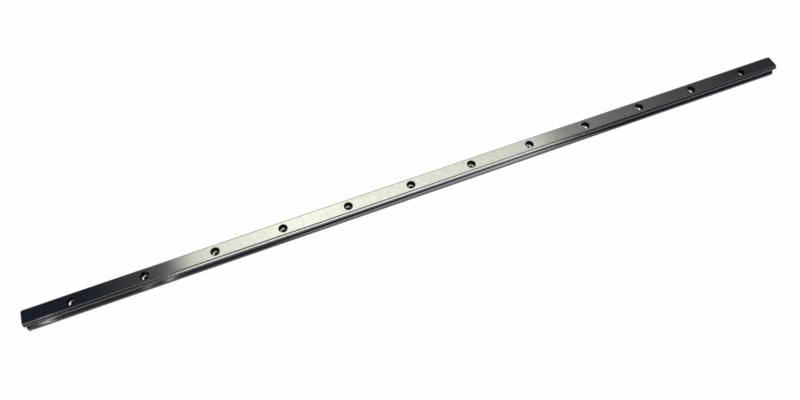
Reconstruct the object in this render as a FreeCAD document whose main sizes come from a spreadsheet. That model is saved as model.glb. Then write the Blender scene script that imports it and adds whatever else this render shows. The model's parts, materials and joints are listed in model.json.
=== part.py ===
import FreeCAD, Part
import math
import os

import Sketcher
from FreeCAD import Vector

# Profile rail of a linear guide: one bar of ground steel with four ball raceways and a row of screw holes.
# The rail lies along X, its seating face is on Z = 0, and the origin is the middle of that face.

# Driving dimensions in millimetres.
SIZES = {
    "rail_width": 15.0,              # across the two datum sides of the base
    "rail_height": 12.5,             # seating face to top face
    "hole_pitch": 60.0,              # from one screw hole to the next
    "hole_count": 12,                # screw holes in the row
    "end_margin": 39.0,              # end face to the nearest hole
    "base_side_height": 2.8,         # seating face to the top edge of the datum side
    "shoulder_rise": 2.6,            # height of the hollow slope from the datum side up to the waist
    "shoulder_radius": 9.0,          # hollow of that slope
    "waist_width": 10.8,             # across the undercut below the head
    "raceway_radius": 1.7,           # ground ball track, a little over the ball's own radius
    "lower_raceway_height": 6.75,    # seating face to the centre of the lower ball tracks
    "bottom_chamfer": 0.5,           # along both edges of the seating face
    "end_chamfer": 0.5,              # round the edges of both end faces
    "hole_diameter": 4.5,            # clearance for the screw shank
    "counterbore_diameter": 7.5,     # recess for the screw head
    "counterbore_depth": 5.3,        # top face to the ledge under the screw head
    "rim_chamfer": 0.35,             # broken edge at the mouth of the counterbore
}
RAIL_LENGTH = "(Sizes.hole_count - 1) * Sizes.hole_pitch + 2 * Sizes.end_margin"

# Points of a sketch's lines and arcs, and the sketch's own origin.
START, END, CENTRE = 1, 2, 3
ORIGIN = (-1, 1)

# A face counts as flat and upright when it is thinner than this along X.
FLAT = 0.001


def add_size_sheet(doc):
    """Put the driving dimensions in a sheet, one named cell each."""
    sheet = doc.addObject("Spreadsheet::Sheet", "Sizes")
    for row, (name, value) in enumerate(SIZES.items(), start=1):
        sheet.set(f"A{row}", name)
        sheet.set(f"B{row}", str(value))
        sheet.setAlias(f"B{row}", name)
    doc.recompute()


def origin_feature(body, role):
    """One of the body's own origin planes or axes."""
    return next(feature for feature in body.Origin.OriginFeatures if feature.Role == role)


def add_sketch(body, name, plane):
    """An empty sketch on one of the body's origin planes."""
    sketch = body.newObject("Sketcher::SketchObject", name)
    sketch.AttachmentSupport = [(origin_feature(body, plane), "")]
    sketch.MapMode = "FlatFace"
    return sketch


def add_line(sketch, start, end):
    return sketch.addGeometry(Part.LineSegment(Vector(*start), Vector(*end)), False)


def add_arc(sketch, centre, radius, start_degrees, end_degrees):
    circle = Part.Circle(Vector(*centre), Vector(0, 0, 1), radius)
    arc = Part.ArcOfCircle(circle, math.radians(start_degrees), math.radians(end_degrees))
    return sketch.addGeometry(arc, False)


def relate(sketch, kind, *elements):
    """Add a relation that has no size, such as Vertical or Coincident."""
    sketch.addConstraint(Sketcher.Constraint(kind, *elements))


def bind(sketch, name, formula, kind, *elements):
    """Add a dimension that follows a formula on the size sheet."""
    value = sketch.evalExpression(formula)
    index = sketch.addConstraint(Sketcher.Constraint(kind, *elements, value))
    sketch.renameConstraint(index, name)
    sketch.setExpression(f"Constraints.{name}", formula)


def draw_half_section(body):
    """Half of the rail's section, from the seating face round the base, waist and head to the top face."""
    sketch = add_sketch(body, "HalfSection", "YZ_Plane")
    half, waist = SIZES["rail_width"] / 2, SIZES["waist_width"] / 2
    height, radius = SIZES["rail_height"], SIZES["raceway_radius"]
    chamfer, base_top = SIZES["bottom_chamfer"], SIZES["base_side_height"]
    rise, hollow = SIZES["shoulder_rise"], SIZES["shoulder_radius"]
    lean = math.atan2(half - waist, rise)
    spread = math.asin(math.hypot(half - waist, rise) / 2 / hollow)
    hollow_centre = (half + hollow * math.cos(lean + spread), base_top + hollow * math.sin(lean + spread))
    hollow_ends = 180 + math.degrees(lean - spread), 180 + math.degrees(lean + spread)
    waist_low, waist_high = base_top + rise, SIZES["lower_raceway_height"]
    mouth = math.acos((half - waist - radius) / radius)
    mouth_height = waist_high + radius * math.sin(mouth)

    bottom = add_line(sketch, (0, 0), (half - chamfer, 0))
    bottom_edge = add_line(sketch, (half - chamfer, 0), (half, chamfer))
    datum_side = add_line(sketch, (half, chamfer), (half, base_top))
    shoulder = add_arc(sketch, hollow_centre, hollow, *hollow_ends)
    waist_side = add_line(sketch, (waist, waist_low), (waist, waist_high))
    lower_raceway = add_arc(sketch, (waist + radius, waist_high), radius, math.degrees(mouth), 180)
    head_side = add_line(sketch, (half, mouth_height), (half, height - radius))
    upper_raceway = add_arc(sketch, (half, height), radius, 180, 270)
    top = add_line(sketch, (half - radius, height), (0, height))
    middle = add_line(sketch, (0, height), (0, 0))

    relate(sketch, "Coincident", bottom, START, *ORIGIN)
    relate(sketch, "Coincident", bottom, END, bottom_edge, START)
    relate(sketch, "Coincident", bottom_edge, END, datum_side, START)
    relate(sketch, "Coincident", datum_side, END, shoulder, END)
    relate(sketch, "Coincident", shoulder, START, waist_side, START)
    relate(sketch, "Tangent", waist_side, END, lower_raceway, END)
    relate(sketch, "Coincident", lower_raceway, START, head_side, START)
    relate(sketch, "Coincident", head_side, END, upper_raceway, END)
    relate(sketch, "Coincident", upper_raceway, START, top, START)
    relate(sketch, "Coincident", top, END, middle, START)
    relate(sketch, "Coincident", middle, END, bottom, START)
    for level in (bottom, top):
        relate(sketch, "Horizontal", level)
    for upright in (datum_side, waist_side, head_side, middle):
        relate(sketch, "Vertical", upright)
    relate(sketch, "Vertical", datum_side, END, head_side, END)
    relate(sketch, "Vertical", upper_raceway, CENTRE, head_side, END)
    relate(sketch, "Horizontal", upper_raceway, CENTRE, top, START)

    bind(sketch, "half_width", "Sizes.rail_width / 2", "DistanceX", *ORIGIN, datum_side, END)
    bind(sketch, "height", "Sizes.rail_height", "DistanceY", *ORIGIN, top, END)
    bind(sketch, "edge_run", "Sizes.bottom_chamfer", "DistanceX", bottom_edge, START, bottom_edge, END)
    bind(sketch, "edge_rise", "Sizes.bottom_chamfer", "DistanceY", bottom_edge, START, bottom_edge, END)
    bind(sketch, "base_side", "Sizes.base_side_height", "DistanceY", *ORIGIN, datum_side, END)
    bind(sketch, "shoulder", "Sizes.shoulder_rise", "DistanceY", shoulder, END, shoulder, START)
    bind(sketch, "hollow", "Sizes.shoulder_radius", "Radius", shoulder)
    bind(sketch, "half_waist", "Sizes.waist_width / 2", "DistanceX", *ORIGIN, waist_side, START)
    bind(sketch, "lower_track", "Sizes.lower_raceway_height", "DistanceY", *ORIGIN, lower_raceway, CENTRE)
    bind(sketch, "lower_radius", "Sizes.raceway_radius", "Radius", lower_raceway)
    bind(sketch, "upper_radius", "Sizes.raceway_radius", "Radius", upper_raceway)
    return sketch


def add_bar(body):
    """The plain bar: the half section drawn out along the rail and mirrored about its middle plane."""
    half_bar = body.newObject("PartDesign::Pad", "HalfBar")
    half_bar.Profile = draw_half_section(body)
    half_bar.SideType = "Symmetric"
    half_bar.setExpression("Length", RAIL_LENGTH)
    bar = body.newObject("PartDesign::Mirrored", "Bar")
    bar.Originals = [half_bar]
    bar.MirrorPlane = (origin_feature(body, "XZ_Plane"), [""])
    body.Tip = bar
    return bar


def draw_hole_profile(body):
    """Half profile of one stepped screw hole, about the upright axis of the row's first hole."""
    sketch = add_sketch(body, "HoleProfile", "XZ_Plane")
    sketch.setExpression("AttachmentOffset.Base.x", "-(Sizes.hole_count - 1) * Sizes.hole_pitch / 2")
    shank, head = SIZES["hole_diameter"] / 2, SIZES["counterbore_diameter"] / 2
    height, rim = SIZES["rail_height"], SIZES["rim_chamfer"]
    ledge_height = height - SIZES["counterbore_depth"]

    corners = [(0, 0), (shank, 0), (shank, ledge_height), (head, ledge_height),
               (head, height - rim), (head + rim, height), (0, height)]
    lines = [add_line(sketch, *ends) for ends in zip(corners, corners[1:] + corners[:1])]
    for line, following in zip(lines, lines[1:] + lines[:1]):
        relate(sketch, "Coincident", line, END, following, START)
    exit_face, shank_wall, ledge, head_wall, rim_edge, mouth, axis = lines
    relate(sketch, "Coincident", exit_face, START, *ORIGIN)
    for level in (exit_face, ledge, mouth):
        relate(sketch, "Horizontal", level)
    for upright in (shank_wall, head_wall, axis):
        relate(sketch, "Vertical", upright)

    bind(sketch, "shank", "Sizes.hole_diameter / 2", "DistanceX", *ORIGIN, shank_wall, START)
    bind(sketch, "head", "Sizes.counterbore_diameter / 2", "DistanceX", *ORIGIN, head_wall, START)
    bind(sketch, "mouth", "Sizes.rail_height", "DistanceY", *ORIGIN, mouth, START)
    bind(sketch, "depth", "Sizes.counterbore_depth", "DistanceY", ledge, END, mouth, START)
    bind(sketch, "rim_run", "Sizes.rim_chamfer", "DistanceX", rim_edge, START, rim_edge, END)
    bind(sketch, "rim_rise", "Sizes.rim_chamfer", "DistanceY", rim_edge, START, rim_edge, END)
    return sketch


def cut_hole_row(body):
    """The row of counterbored screw holes: the first one turned out of the bar, then repeated along X."""
    profile = draw_hole_profile(body)
    hole = body.newObject("PartDesign::Groove", "ScrewHole")
    hole.Profile = profile
    hole.ReferenceAxis = (profile, ["V_Axis"])
    hole_row = body.newObject("PartDesign::LinearPattern", "HoleRow")
    hole_row.Originals = [hole]
    hole_row.Direction = (origin_feature(body, "X_Axis"), [""])
    hole_row.setExpression("Length", "(Sizes.hole_count - 1) * Sizes.hole_pitch")
    hole_row.setExpression("Occurrences", "Sizes.hole_count")
    body.Tip = hole_row
    return hole_row


def break_end_edges(body, base):
    """Chamfer the edges round both end faces."""
    shape = base.Shape
    end_faces = []
    for number, face in enumerate(shape.Faces, start=1):
        if face.BoundBox.XLength < FLAT and abs(face.CenterOfMass.x) > shape.BoundBox.XMax - FLAT:
            end_faces.append(f"Face{number}")
    edges = body.newObject("PartDesign::Chamfer", "EndEdges")
    edges.Base = (base, end_faces)
    edges.setExpression("Size", "Sizes.end_chamfer")
    body.Tip = edges
    return edges


def check_built(doc, body):
    """Stop if any feature failed or the finished rail is not one sound solid."""
    for item in doc.Objects:
        if "Invalid" in item.State or "Error" in item.State:
            raise RuntimeError(f"{item.Name} failed: {item.State}")
    shape = body.Shape
    if shape.isNull() or not shape.isValid() or len(shape.Solids) != 1:
        raise RuntimeError(f"{body.Label} is not one valid solid")


def volume_after(doc, feature):
    doc.recompute()
    return feature.Shape.Volume


def make_guide_rail(doc):
    body = doc.addObject("PartDesign::Body", "GuideRail")
    body.Label = "guide_rail"
    bar = add_bar(body)
    plain = volume_after(doc, bar)
    hole_row = cut_hole_row(body)
    drilled = volume_after(doc, hole_row)
    chamfered = volume_after(doc, break_end_edges(body, hole_row))
    if not plain > drilled > chamfered:
        raise RuntimeError("a cut took nothing off the rail")
    return body


def main():
    doc = FreeCAD.newDocument("LinearGuideRail")
    add_size_sheet(doc)
    rail = make_guide_rail(doc)
    check_built(doc, rail)
    os.makedirs("parts", exist_ok=True)
    rail.Shape.exportStep(f"parts/{rail.Label}.step")


main()
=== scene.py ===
import json
import math

import bmesh
import bpy
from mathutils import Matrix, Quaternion, Vector


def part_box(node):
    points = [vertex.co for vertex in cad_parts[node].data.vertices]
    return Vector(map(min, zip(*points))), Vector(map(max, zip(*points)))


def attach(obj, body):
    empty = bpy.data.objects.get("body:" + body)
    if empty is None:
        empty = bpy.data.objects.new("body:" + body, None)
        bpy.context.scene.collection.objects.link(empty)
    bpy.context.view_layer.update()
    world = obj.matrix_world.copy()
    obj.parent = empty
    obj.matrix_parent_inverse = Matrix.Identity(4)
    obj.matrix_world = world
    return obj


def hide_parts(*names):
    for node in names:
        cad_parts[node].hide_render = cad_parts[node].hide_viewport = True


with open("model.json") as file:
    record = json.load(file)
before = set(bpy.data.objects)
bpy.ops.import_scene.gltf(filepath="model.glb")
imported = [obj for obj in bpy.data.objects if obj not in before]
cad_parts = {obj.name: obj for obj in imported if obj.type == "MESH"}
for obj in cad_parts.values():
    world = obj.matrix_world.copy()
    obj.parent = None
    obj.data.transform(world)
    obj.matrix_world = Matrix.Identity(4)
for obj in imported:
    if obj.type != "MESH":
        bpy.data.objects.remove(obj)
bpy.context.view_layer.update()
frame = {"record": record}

MM = 0.001

# Sizes of the rail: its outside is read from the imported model
rail_low, rail_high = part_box("guide_rail")
RAIL_LENGTH = rail_high.x - rail_low.x
RAIL_HEIGHT = rail_high.z
RAIL_HALF = rail_high.y
FOOT_BREAK = 0.5 * MM
FOOT_SIDE = 2.8 * MM
WAIST_HALF = 5.4 * MM
SHOULDER_RISE = 2.6 * MM
SHOULDER_RADIUS = 9.0 * MM
RACEWAY_RADIUS = 1.7 * MM
LOWER_RACEWAY_Z = 6.75 * MM
END_BREAK = 0.5 * MM
EDGE_BREAK = 0.05 * MM
HEAD_BREAK = 0.15 * MM
SCREW_RADIUS = 2.25 * MM
COUNTERBORE_RADIUS = 3.75 * MM
COUNTERBORE_DEPTH = 5.3 * MM
RIM_BREAK = 0.35 * MM
SEAT_SLOPE = math.radians(24)

# Fineness of the mesh
QUARTER_STEPS = 16
LOWER_STEPS = QUARTER_STEPS + 2
SHOULDER_STEPS = 10
HOLE_STEPS = 64
EIGHTH = HOLE_STEPS // 8
SHARP_ANGLE = math.radians(15)

# Marks of the tools on the steel, and the radii on each seat where painted highlight gives way to painted
# shade
MARK_DEPTH = 0.01 * MM
SEAT_PAINTED_HIGHLIGHT_RADIUS = 2.8 * MM
SEAT_PAINTED_SHADE_RADIUS = 3.4 * MM
CUTTING_WHEEL_CENTRE = (0.0, 90 * MM, 150 * MM)

# Finishes of the rail, in the order of its material slots
CROWN, RACEWAY, FLANK, WAIST, BORE, SEAT, CUT_END = range(7)


def screw_places():
    """The X of every screw hole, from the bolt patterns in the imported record."""
    places = []
    for mount in frame["record"]["mounts"]:
        if mount["kind"] == "bolt_pattern":
            half_gap = mount["dims"]["spacing_x_mm"] * MM / 2
            places += [-half_gap, half_gap]
    return sorted(places)


SCREW_PLACES = screw_places()
SCREW_PITCH = SCREW_PLACES[1] - SCREW_PLACES[0]


class Wire:
    """One output of a node. Arithmetic on it adds Math nodes."""

    def __init__(self, finish, socket):
        self.finish = finish
        self.socket = socket

    def beside(self, output):
        """Another output of the same node."""
        return Wire(self.finish, self.socket.node.outputs[output])

    def work_out(self, operation, *values):
        return self.finish.node("ShaderNodeMath", {"operation": operation}, dict(enumerate(values)))

    def __add__(self, other):
        return self.work_out("ADD", self, other)

    def __radd__(self, other):
        return self.work_out("ADD", other, self)

    def __sub__(self, other):
        return self.work_out("SUBTRACT", self, other)

    def __rsub__(self, other):
        return self.work_out("SUBTRACT", other, self)

    def __mul__(self, other):
        return self.work_out("MULTIPLY", self, other)

    def __rmul__(self, other):
        return self.work_out("MULTIPLY", other, self)

    def __pow__(self, other):
        return self.work_out("POWER", self, other)

    def __rpow__(self, other):
        return self.work_out("POWER", other, self)


class Finish:
    """The nodes of one material, one lamp or the world."""

    def __init__(self, owner):
        owner.use_nodes = True
        self.owner = owner
        self.tree = owner.node_tree
        self.tree.nodes.clear()

    def node(self, kind, settings=None, sockets=None, output=0):
        """Adds a node: its settings first, then the values or links of its sockets."""
        made = self.tree.nodes.new(kind)
        for name, value in (settings or {}).items():
            setattr(made, name, value)
        for name, value in (sockets or {}).items():
            if isinstance(value, Wire):
                self.tree.links.new(value.socket, made.inputs[name])
            else:
                made.inputs[name].default_value = value
        return Wire(self, made.outputs[output]) if made.outputs else None

    def blend_colours(self, share, first, second):
        """Mixes two colours. The Mix node's sockets share their names, so they go by number."""
        return self.node("ShaderNodeMix", {"data_type": "RGBA"}, {0: share, 6: first, 7: second}, 2)

    def place(self):
        """Where a point is on the rail, in metres in the rail's frame."""
        return self.node("ShaderNodeTexCoord", output="Object")

    def noise(self, place, grains_per_metre, detail=2.0):
        """Smooth noise from 0 to 1, with its own grain size along X, Y and Z."""
        sockets = {0: place, 1: grains_per_metre}
        stretched = self.node("ShaderNodeVectorMath", {"operation": "MULTIPLY"}, sockets)
        return self.node("ShaderNodeTexNoise", {}, {"Vector": stretched, "Scale": 1.0, "Detail": detail})

    def steel(self, colour, roughness, height, strength):
        """Bare steel with tool marks: a height of 1 is MARK_DEPTH, and strength is how much of it shows."""
        marks = {"Strength": strength, "Distance": MARK_DEPTH, "Height": height}
        bump = self.node("ShaderNodeBump", {}, marks)
        sockets = {"Base Color": colour, "Metallic": 1.0, "Roughness": roughness, "Normal": bump}
        shader = self.node("ShaderNodeBsdfPrincipled", {}, sockets)
        self.node("ShaderNodeOutputMaterial", {}, {"Surface": shader})
        return self.owner


def new_finish(name):
    return Finish(bpy.data.materials.new(name))


# Finishes of the steel
def ground_crown():
    finish = new_finish("ground_crown")
    place = finish.place()
    wheel_lines = finish.noise(place, (14.0, 1500.0, 14.0))
    fine_lines = finish.noise(place, (60.0, 7000.0, 60.0))
    mottle = finish.noise(place, (260.0, 330.0, 260.0), detail=3.0)
    tone = 0.7 * mottle + 0.2 * wheel_lines + 0.1 * fine_lines
    dark_steel = (0.43, 0.435, 0.42, 1.0)
    pale_steel = (0.75, 0.76, 0.745, 1.0)
    colour = finish.blend_colours(tone, dark_steel, pale_steel)
    roughness = 0.09 + 0.02 * wheel_lines
    height = wheel_lines + 0.5 * fine_lines
    return finish.steel(colour, roughness, height, strength=0.01)


def lapped_raceway():
    finish = new_finish("lapped_raceway")
    place = finish.place()
    lap_lines = finish.noise(place, (25.0, 4000.0, 4000.0))
    tone = finish.noise(place, (90.0, 500.0, 500.0))
    dark_steel = (0.56, 0.565, 0.56, 1.0)
    pale_steel = (0.66, 0.665, 0.66, 1.0)
    colour = finish.blend_colours(tone, dark_steel, pale_steel)
    roughness = 0.08 + 0.04 * lap_lines
    return finish.steel(colour, roughness, lap_lines, strength=0.03)


def ground_flank():
    finish = new_finish("ground_flank")
    place = finish.place()
    wheel_lines = finish.noise(place, (18.0, 1800.0, 1800.0))
    fine_lines = finish.noise(place, (50.0, 7000.0, 7000.0))
    mottle = finish.noise(place, (200.0, 350.0, 350.0), detail=3.0)
    tone = 0.5 * wheel_lines + 0.5 * mottle
    dark_steel = (0.48, 0.485, 0.485, 1.0)
    pale_steel = (0.58, 0.585, 0.58, 1.0)
    colour = finish.blend_colours(tone, dark_steel, pale_steel)
    roughness = 0.24 + 0.12 * wheel_lines
    height = wheel_lines + 0.5 * fine_lines
    return finish.steel(colour, roughness, height, strength=0.1)


def drawn_waist():
    finish = new_finish("drawn_waist")
    place = finish.place()
    draw_lines = finish.noise(place, (12.0, 1500.0, 1500.0))
    scale_patches = finish.noise(place, (120.0, 500.0, 500.0), detail=4.0)
    tone = 0.5 * draw_lines + 0.5 * scale_patches
    dark_steel = (0.48, 0.48, 0.485, 1.0)
    pale_steel = (0.62, 0.62, 0.62, 1.0)
    colour = finish.blend_colours(tone, dark_steel, pale_steel)
    roughness = 0.05 + 0.03 * scale_patches
    height = draw_lines + scale_patches
    return finish.steel(colour, roughness, height, strength=0.05)


def drilled_bore_painted_shade():
    finish = new_finish("drilled_bore_painted_shade")
    place = finish.place()
    drill_lines = finish.noise(place, (40.0, 40.0, 5000.0))
    patches = finish.noise(place, (500.0, 500.0, 500.0))
    tone = 0.6 * drill_lines + 0.4 * patches
    # Nearly black steel on the walls and rim break of each hole: painted shade for the shadow down inside
    # the holes, with the drill lines' own tone varying over it
    dark_steel = (0.04, 0.04, 0.042, 1.0)
    pale_steel = (0.1, 0.1, 0.1, 1.0)
    colour = finish.blend_colours(tone, dark_steel, pale_steel)
    roughness = 0.3 + 0.16 * drill_lines
    return finish.steel(colour, roughness, drill_lines, strength=0.3)


def turned_seat_painted_light():
    """Turned rings round each screw hole, on a seat with a painted highlight next to the hole and painted
    shade farther out by the counterbore's wall.
    """
    finish = new_finish("turned_seat_painted_light")
    place = finish.place()
    along = finish.node("ShaderNodeSeparateXYZ", {}, {"Vector": place}, "X")
    from_hole = along.work_out("WRAP", along, SCREW_PITCH, 0.0) - SCREW_PITCH / 2
    radius = (from_hole ** 2.0 + along.beside("Y") ** 2.0) ** 0.5
    ring_place = finish.node("ShaderNodeCombineXYZ", {}, {"X": radius})
    tool_rings = finish.noise(ring_place, (6000.0, 1.0, 1.0))
    patches = finish.noise(place, (500.0, 500.0, 500.0))
    tone = 0.6 * tool_rings + 0.4 * patches
    # The steel's own ring tone, lifted very bright next to the hole as a painted highlight
    painted_highlight_steel = (0.8, 0.805, 0.8, 1.0)
    painted_highlight_peak_steel = (0.92, 0.925, 0.92, 1.0)
    painted_shade_steel = (0.16, 0.16, 0.165, 1.0)
    bright = finish.blend_colours(tone, painted_highlight_steel, painted_highlight_peak_steel)
    # Darker steel farther out: painted shade where the counterbore's wall hides the seat from the light
    limits = {"Value": radius, "From Min": SEAT_PAINTED_HIGHLIGHT_RADIUS, "From Max": SEAT_PAINTED_SHADE_RADIUS}
    painted_shade_share = finish.node("ShaderNodeMapRange", {}, limits)
    colour = finish.blend_colours(painted_shade_share, bright, painted_shade_steel)
    roughness = 0.24 + 0.05 * tool_rings
    return finish.steel(colour, roughness, tool_rings, strength=0.1)


def cut_end():
    """Arcs that a large cutting wheel leaves across the end faces."""
    finish = new_finish("cut_end")
    place = finish.place()
    sockets = {0: place, 1: CUTTING_WHEEL_CENTRE}
    from_centre = finish.node("ShaderNodeVectorMath", {"operation": "SUBTRACT"}, sockets)
    across = finish.node("ShaderNodeSeparateXYZ", {}, {"Vector": from_centre}, "Y")
    radius = (across ** 2.0 + across.beside("Z") ** 2.0) ** 0.5
    arc_place = finish.node("ShaderNodeCombineXYZ", {}, {"X": radius})
    arcs = finish.noise(arc_place, (2600.0, 1.0, 1.0), detail=4.0)
    patches = finish.noise(place, (300.0, 300.0, 300.0))
    tone = 0.6 * arcs + 0.4 * patches
    dark_steel = (0.38, 0.385, 0.385, 1.0)
    pale_steel = (0.52, 0.525, 0.52, 1.0)
    colour = finish.blend_colours(tone, dark_steel, pale_steel)
    roughness = 0.3 + 0.14 * arcs
    return finish.steel(colour, roughness, arcs, strength=0.3)


# Section of the rail, up one side from the edge of the foot to the edge of the crown
def half_section(inset):
    """Points, and the finish of each run between them, all set into the steel by the inset."""
    side = RAIL_HALF - inset
    radius = RACEWAY_RADIUS + inset

    # The broken edge of the foot slopes at 45 degrees, so y less z is the same all along it
    foot_difference = RAIL_HALF - FOOT_BREAK - inset * math.sqrt(2)
    points = [(foot_difference + inset, inset), (side, side - foot_difference)]
    finishes = [FLANK, FLANK]

    # The hollow shoulder, from the foot's upright side in to the waist
    run = RAIL_HALF - WAIST_HALF
    lean = math.atan2(run, SHOULDER_RISE)
    spread = math.asin(math.hypot(run, SHOULDER_RISE) / 2 / SHOULDER_RADIUS)
    shoulder_y = RAIL_HALF + SHOULDER_RADIUS * math.cos(lean + spread)
    shoulder_z = FOOT_SIDE + SHOULDER_RADIUS * math.sin(lean + spread)
    shoulder_radius = SHOULDER_RADIUS + inset
    shoulder_start = math.acos((shoulder_y - side) / shoulder_radius)
    shoulder_stop = math.acos((shoulder_y - WAIST_HALF + inset) / shoulder_radius)
    for step in range(SHOULDER_STEPS + 1):
        turn = shoulder_start + (shoulder_stop - shoulder_start) * step / SHOULDER_STEPS
        y = shoulder_y - shoulder_radius * math.cos(turn)
        z = shoulder_z - shoulder_radius * math.sin(turn)
        points.append((y, z))
        finishes.append(WAIST)

    # The lower raceway, from the waist out to the head's upright side
    lower_y = WAIST_HALF + RACEWAY_RADIUS
    lower_stop = math.acos((side - lower_y) / radius)
    for step in range(LOWER_STEPS + 1):
        turn = math.pi + (lower_stop - math.pi) * step / LOWER_STEPS
        points.append((lower_y + radius * math.cos(turn), LOWER_RACEWAY_Z + radius * math.sin(turn)))
        finishes.append(RACEWAY)
    head_bottom = len(points) - 1
    finishes[head_bottom] = FLANK

    # The upper raceway, let into the corner between the head's side and the crown
    trim = math.asin(inset / radius)
    for step in range(QUARTER_STEPS + 1):
        turn = 1.5 * math.pi - trim - (math.pi / 2 - 2 * trim) * step / QUARTER_STEPS
        points.append((RAIL_HALF + radius * math.cos(turn), RAIL_HEIGHT + radius * math.sin(turn)))
        finishes.append(RACEWAY)
    breaks = {head_bottom: EDGE_BREAK, head_bottom + 1: HEAD_BREAK, len(points) - 1: EDGE_BREAK}
    return break_corners(points, finishes, breaks)


def towards(start, target, distance):
    """The point at a distance from the start on the way to the target."""
    gap = math.dist(start, target)
    return tuple(a + (b - a) * distance / gap for a, b in zip(start, target))


def break_corners(points, finishes, breaks):
    """Each corner that has a break becomes a narrow facet with the raceway's finish."""
    after = points[1:] + [(0.0, points[-1][1])]
    broken, broken_finishes = [], []
    for index, point in enumerate(points):
        if index in breaks:
            broken.append(towards(point, points[index - 1], breaks[index]))
            broken.append(towards(point, after[index], breaks[index]))
            broken_finishes.append(RACEWAY)
        else:
            broken.append(point)
        broken_finishes.append(finishes[index])
    return broken, broken_finishes


class RailMesh:
    """The rail's points and faces, each face with its finish."""

    def __init__(self):
        self.points = []
        self.faces = []
        self.finishes = []

    def add_points(self, points):
        """Adds points and gives their numbers."""
        first = len(self.points)
        self.points += points
        return list(range(first, len(self.points)))

    def add_face(self, corners, finish):
        self.faces.append(corners)
        self.finishes.append(finish)

    def add_band(self, first, second, finishes):
        """Faces between two rows of points, with a finish for each face."""
        pairs = list(zip(first, second))
        for (a, b), (c, d), finish in zip(pairs, pairs[1:], finishes):
            self.add_face([a, c, d, b], finish)

    def add_ring_band(self, first, second, finish):
        self.add_band(first + first[:1], second + second[:1], [finish] * len(first))

    def add_flat(self, first, second, finish):
        """A flat stretch between two rows across the rail, whose numbers of points may differ."""
        if len(first) == len(second):
            self.add_band(first, second, [finish] * len(first))
        else:
            self.add_face(first + second[::-1], finish)

    def make_object(self, name, materials):
        mesh = bpy.data.meshes.new(name)
        mesh.from_pydata(self.points, [], self.faces)
        for material in materials:
            mesh.materials.append(material)
        mesh.polygons.foreach_set("material_index", self.finishes)
        mesh.polygons.foreach_set("use_smooth", [True] * len(self.faces))
        shell = bmesh.new()
        shell.from_mesh(mesh)
        bmesh.ops.recalc_face_normals(shell, faces=shell.faces)
        shell.to_mesh(mesh)
        shell.free()
        mesh.set_sharp_from_angle(angle=SHARP_ANGLE)
        piece = bpy.data.objects.new(name, mesh)
        bpy.context.scene.collection.objects.link(piece)
        return piece


# Mesh of the rail: rows of points up both sides, with the holes let into crown and foot
def hole_angles():
    return [2 * math.pi * step / HOLE_STEPS for step in range(HOLE_STEPS)]


def side_rows(rail, x, profile):
    """The points up the +Y side and up the -Y side at one place along the rail."""
    return [rail.add_points([(x, sign * y, z) for y, z in profile]) for sign in (1, -1)]


def flat_rows(rows):
    """The two edge points of the crown, and those of the foot, at one place along the rail."""
    plus, minus = rows
    return [plus[-1], minus[-1]], [plus[0], minus[0]]


def join_sides(rail, first, second, finishes):
    for first_side, second_side in zip(first, second):
        rail.add_band(first_side, second_side, finishes)


def hole_rows(rail, x, profile, finishes):
    """Rows up the sides, joined up, at each place where the mesh round a hole meets them."""
    crown_half = profile[-1][0]
    rows = []
    for angle in reversed(hole_angles()[EIGHTH:3 * EIGHTH + 1]):
        rows.append(side_rows(rail, x + crown_half / math.tan(angle), profile))
    for first, second in zip(rows, rows[1:]):
        join_sides(rail, first, second, finishes)
    return rows


def hole_frame(rail, x, rows, level, reach, half_width):
    """The rectangle round a hole, point for point with the hole, and its rows at low X and at high X."""
    z = rail.points[rows[0][0][level]][2]
    edge = []
    for step, angle in enumerate(hole_angles()):
        if EIGHTH <= step <= 3 * EIGHTH:
            edge.append(rows[3 * EIGHTH - step][0][level])
        elif 5 * EIGHTH <= step <= 7 * EIGHTH:
            edge.append(rows[step - 5 * EIGHTH][1][level])
        else:
            run = math.copysign(reach, math.cos(angle))
            across = half_width * math.sin(angle) / abs(math.cos(angle))
            edge += rail.add_points([(x + run, across, z)])
    low_row = edge[3 * EIGHTH:5 * EIGHTH + 1]
    high_row = (edge[7 * EIGHTH:] + edge[:EIGHTH + 1])[::-1]
    return edge, low_row, high_row


def bore_hole(rail, x, rows, profile):
    """A screw hole through the rail, opened out from the crown for the screw's head."""
    crown_half, foot_half = profile[-1][0], profile[0][0]
    crown_frame, crown_low, crown_high = hole_frame(rail, x, rows, -1, crown_half, crown_half)
    foot_frame, foot_low, foot_high = hole_frame(rail, x, rows, 0, crown_half, foot_half)
    seat = RAIL_HEIGHT - COUNTERBORE_DEPTH
    seat_drop = (COUNTERBORE_RADIUS - SCREW_RADIUS) * math.tan(SEAT_SLOPE)
    circles = [
        (COUNTERBORE_RADIUS + RIM_BREAK, RAIL_HEIGHT),
        (COUNTERBORE_RADIUS, RAIL_HEIGHT - RIM_BREAK),
        (COUNTERBORE_RADIUS, seat),
        (SCREW_RADIUS, seat - seat_drop),
        (SCREW_RADIUS, 0.0),
    ]
    ring_finishes = [BORE, BORE, SEAT, BORE]
    rings = []
    for radius, z in circles:
        ring = [(x + radius * math.cos(angle), radius * math.sin(angle), z) for angle in hole_angles()]
        rings.append(rail.add_points(ring))
    rail.add_ring_band(crown_frame, rings[0], CROWN)
    for upper, lower, finish in zip(rings, rings[1:], ring_finishes):
        rail.add_ring_band(upper, lower, finish)
    rail.add_ring_band(rings[-1], foot_frame, FLANK)
    return (crown_low, foot_low), (crown_high, foot_high)


def close_end(rail, body, rim):
    """The broken edge round an end of the rail, and the cut face."""
    for first, second in zip(body, rim):
        rail.add_band(first, second, [CUT_END] * len(first))
    for first, second in zip(flat_rows(body), flat_rows(rim)):
        rail.add_flat(first, second, CUT_END)
    rail.add_face(rim[0] + rim[1][::-1], CUT_END)


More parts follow.
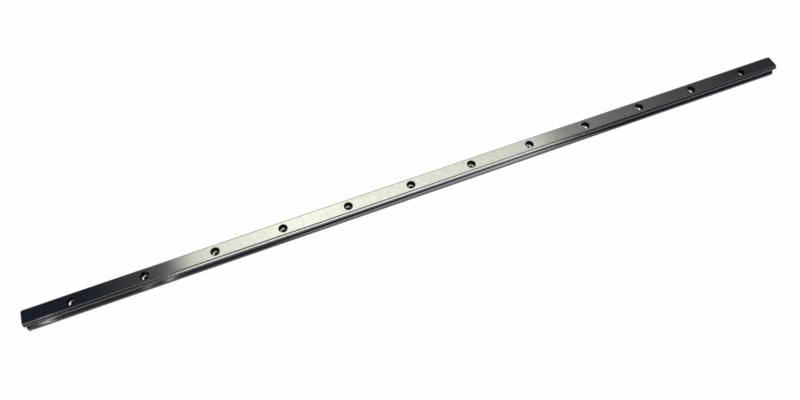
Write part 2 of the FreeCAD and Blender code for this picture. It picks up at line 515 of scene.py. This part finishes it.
def build_rail(materials):
    rail = RailMesh()
    profile, finishes = half_section(0.0)
    end_profile, _ = half_section(END_BREAK)
    half_length = RAIL_LENGTH / 2
    start = side_rows(rail, END_BREAK - half_length, profile)
    close_end(rail, start, side_rows(rail, -half_length, end_profile))
    before, before_flats = start, flat_rows(start)
    for x in SCREW_PLACES:
        rows = hole_rows(rail, x, profile, finishes)
        low_flats, high_flats = bore_hole(rail, x, rows, profile)
        join_sides(rail, before, rows[0], finishes)
        for first, second, finish in zip(before_flats, low_flats, (CROWN, FLANK)):
            rail.add_flat(first, second, finish)
        before, before_flats = rows[-1], high_flats
    stop = side_rows(rail, half_length - END_BREAK, profile)
    join_sides(rail, before, stop, finishes)
    for first, second, finish in zip(before_flats, flat_rows(stop), (CROWN, FLANK)):
        rail.add_flat(first, second, finish)
    close_end(rail, stop, side_rows(rail, half_length, end_profile))
    return rail.make_object("ground_rail", materials)


# Floor and room
FLOOR_HALF = 20.0
FLOOR_SHEET = (0.29, 0.295, 0.31, 1.0)
SEEN_WHITE = 0.99
MIRRORED_WHITE = 0.05
CONTACT_SHADE_REACH = 0.7 * MM
CONTACT_SHADE_SAMPLES = 8
ROOM_BLUE = (0.0155, 0.0198, 0.0315, 1.0)
BACKDROP_WHITE = (1.0, 1.0, 1.0, 1.0)


def pale_floor():
    """Near white to the camera, but a grey sheet in the light that it throws back."""
    finish = new_finish("pale_floor")
    rays = finish.node("ShaderNodeLightPath", output="Is Camera Ray")
    seen_through = rays.beside("Is Transmission Ray")
    mirrored = rays.beside("Is Glossy Ray")
    seen = SEEN_WHITE * rays + SEEN_WHITE * seen_through + MIRRORED_WHITE * mirrored
    shade_settings = {"samples": CONTACT_SHADE_SAMPLES}
    open_sky = finish.node("ShaderNodeAmbientOcclusion", shade_settings, {"Distance": CONTACT_SHADE_REACH})
    sheet = finish.node("ShaderNodeBsdfDiffuse", {}, {"Color": FLOOR_SHEET})
    white = finish.node("ShaderNodeEmission", {}, {"Color": open_sky, "Strength": 1.0})
    surface = finish.node("ShaderNodeMixShader", {}, {0: seen, 1: sheet, 2: white})
    finish.node("ShaderNodeOutputMaterial", {}, {"Surface": surface})
    return finish.owner


def lay_floor():
    mesh = bpy.data.meshes.new("floor")
    signs = [(-1, -1), (1, -1), (1, 1), (-1, 1)]
    corners = [(FLOOR_HALF * across, FLOOR_HALF * back, 0.0) for across, back in signs]
    mesh.from_pydata(corners, [], [(0, 1, 2, 3)])
    mesh.materials.append(pale_floor())
    floor = bpy.data.objects.new("floor", mesh)
    bpy.context.scene.collection.objects.link(floor)


def dim_room():
    """A dim bluish room, whose background is white to the camera."""
    world = bpy.data.worlds.new("dim_room")
    bpy.context.scene.world = world
    finish = Finish(world)
    rays = finish.node("ShaderNodeLightPath", output="Is Camera Ray")
    room = finish.node("ShaderNodeBackground", {}, {"Color": ROOM_BLUE, "Strength": 1.0})
    white = finish.node("ShaderNodeBackground", {}, {"Color": BACKDROP_WHITE, "Strength": 1.0})
    surface = finish.node("ShaderNodeMixShader", {}, {0: rays, 1: room, 2: white})
    finish.node("ShaderNodeOutputWorld", {}, {"Surface": surface})


# Lamps
WINDOW_WHITE = (0.975, 1.0, 0.865)
PLAIN_WHITE = (1.0, 1.0, 1.0)
BLUSH_WHITE = (1.0, 0.86, 0.85)
WALL_YELLOW = (1.0, 1.0, 0.4)
WINDOW_MIDDLE = 0.105
WINDOW_WIDTH = 1.07
FRONT_Y = -1.5
FRONT_LEAN = math.radians(33)

# Places along X and how many times a lamp's brightness its face has there
WINDOW_STOPS = [
    (-0.64, 0.0),
    (-0.45, 0.085),
    (-0.385, 1.1),
    (-0.1, 1.55),
    (0.59, 0.98),
    (0.68, 0.36),
    (0.8, 0.24),
    (1.0, 0.112),
    (1.3, 0.028),
    (1.42, 0.022),
]
FRONT_STOPS = [
    (-0.1, 0.75),
    (0.2, 0.68),
    (0.45, 0.8),
    (0.68, 1.1),
    (0.8, 1.05),
    (0.95, 0.45),
]

# Narrow strips in front of the rail: the X, width, brightness and colour of each
STRIP_HEIGHT = 0.6
STRIP_LENGTH = 1.2
STRIP_LEAN_PER_METRE = math.radians(7.5)
SIDE_STRIPS = [
    (-0.935, 0.014, 1.8, BLUSH_WHITE),
    (-0.617, 0.012, 0.5, PLAIN_WHITE),
    (-0.545, 0.022, 0.55, PLAIN_WHITE),
]

# Panels round the room: the bearing of each in degrees from the front, towards the right
PANEL_DISTANCE = 2.6
PANEL_HEIGHT = 1.15
PANEL_SIZE = (1.7, 2.2)
PANEL_BRIGHTNESS = 0.45
ROOM_PANELS = {
    "front_left_panel": -50.0,
    "left_panel": -90.0,
    "back_left_panel": -135.0,
    "back_panel": 180.0,
    "back_right_panel": 147.0,
    "right_panel": 88.0,
}


def facing(place, aim, roll):
    """The turn that points a lamp or camera at its aim, rolled about the line to it."""
    look = Vector(aim) - Vector(place)
    return Quaternion(look, roll) @ look.to_track_quat("-Z", "Y")


def hang_lamp(name, place, aim, size, brightness, colour, roll=0.0):
    """A flat soft lamp. Lamps of one brightness have equally bright faces, whatever their size."""
    light = bpy.data.lights.new(name, "AREA")
    light.shape = "RECTANGLE"
    light.size, light.size_y = size
    light.energy = brightness * math.pi * size[0] * size[1]
    light.color = colour
    lamp = bpy.data.objects.new(name, light)
    lamp.location = place
    lamp.rotation_mode = "QUATERNION"
    lamp.rotation_quaternion = facing(place, aim, roll)
    lamp.visible_camera = False
    bpy.context.scene.collection.objects.link(lamp)
    return light


def hang_level(name, place, size, brightness, colour):
    """A lamp overhead that faces straight down."""
    x, y, _ = place
    return hang_lamp(name, place, (x, y, 0.0), size, brightness, colour)


def hang_upright(name, place, size, brightness, colour, roll=0.0):
    """A lamp in front of the rail that faces straight back."""
    x, _, z = place
    return hang_lamp(name, place, (x, 0.0, z), size, brightness, colour, roll)


def soften_lamp(light, stops):
    """Makes a lamp brighter and darker along X, evenly from each stop to the next."""
    finish = Finish(light)
    position = finish.node("ShaderNodeNewGeometry", output="Position")
    along = finish.node("ShaderNodeSeparateXYZ", {}, {"Vector": position}, "X")
    level = stops[0][1]
    for (start, first), (stop, last) in zip(stops, stops[1:]):
        change = {"Value": along, "From Min": start, "From Max": stop, "To Min": 0.0, "To Max": last - first}
        level = level + finish.node("ShaderNodeMapRange", {}, change)
    sockets = {0: PLAIN_WHITE, "Scale": level}
    shade = finish.node("ShaderNodeVectorMath", {"operation": "SCALE"}, sockets)
    glow = finish.node("ShaderNodeEmission", {}, {"Color": shade, "Strength": 1.0})
    finish.node("ShaderNodeOutputLight", {}, {"Surface": glow})


def light_room():
    window = hang_level(
        "window_lamp",
        place=(0.395, 0.65, 1.0),
        size=(2.11, 0.7),
        brightness=1.0,
        colour=WINDOW_WHITE,
    )
    soften_lamp(window, WINDOW_STOPS)
    hang_level(
        "window_edge",
        place=(WINDOW_MIDDLE, 0.175, 1.0),
        size=(WINDOW_WIDTH, 0.25),
        brightness=2.15,
        colour=WINDOW_WHITE,
    )
    hang_level(
        "near_window",
        place=(WINDOW_MIDDLE, -0.7, 0.96),
        size=(WINDOW_WIDTH, 0.6),
        brightness=2.45,
        colour=PLAIN_WHITE,
    )
    front = hang_upright(
        "front_lamp",
        place=(0.5, FRONT_Y, 0.88),
        size=(1.1, 0.9),
        brightness=0.52,
        colour=PLAIN_WHITE,
        roll=FRONT_LEAN,
    )
    soften_lamp(front, FRONT_STOPS)
    for number, (x, width, brightness, colour) in enumerate(SIDE_STRIPS, 1):
        place = (x, FRONT_Y, STRIP_HEIGHT)
        size = (width, STRIP_LENGTH)
        hang_upright(f"side_strip_{number}", place, size, brightness, colour, STRIP_LEAN_PER_METRE * x)
    hang_upright(
        "wall_glow",
        place=(-0.825, -1.7, 0.8),
        size=(1.55, 1.5),
        brightness=0.0145,
        colour=WALL_YELLOW,
    )
    hang_level(
        "ceiling_gap",
        place=(WINDOW_MIDDLE, -0.125, 1.05),
        size=(WINDOW_WIDTH, 0.35),
        brightness=0.25,
        colour=PLAIN_WHITE,
    )
    for name, bearing in ROOM_PANELS.items():
        across = PANEL_DISTANCE * math.sin(math.radians(bearing))
        back = -PANEL_DISTANCE * math.cos(math.radians(bearing))
        place = (across, back, PANEL_HEIGHT)
        hang_lamp(name, place, (0.0, 0.0, PANEL_HEIGHT), PANEL_SIZE, PANEL_BRIGHTNESS, PLAIN_WHITE)


# Camera, at the photograph's viewing angle
CAMERA_PLACE = (-0.15048, -0.27578, 0.50076)
CAMERA_AIM = (-0.04248, -0.00444, 0.0)
CAMERA_ROLL = math.radians(0.05)
CAMERA_LENS_MM = 28.57
CAMERA_SENSOR_MM = 36.0


def set_camera():
    camera = bpy.data.cameras.new("photo_camera")
    camera.lens = CAMERA_LENS_MM
    camera.sensor_width = CAMERA_SENSOR_MM
    viewpoint = bpy.data.objects.new("photo_camera", camera)
    viewpoint.location = CAMERA_PLACE
    viewpoint.rotation_mode = "QUATERNION"
    viewpoint.rotation_quaternion = facing(CAMERA_PLACE, CAMERA_AIM, CAMERA_ROLL)
    bpy.context.scene.collection.objects.link(viewpoint)
    bpy.context.scene.camera = viewpoint


rail_finishes = [
    ground_crown(),
    lapped_raceway(),
    ground_flank(),
    drawn_waist(),
    drilled_bore_painted_shade(),
    turned_seat_painted_light(),
    cut_end(),
]
ground_rail = build_rail(rail_finishes)
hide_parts("guide_rail")
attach(ground_rail, "root")

lay_floor()
dim_room()
light_room()
set_camera()

bpy.context.scene.view_settings.view_transform = "Standard"
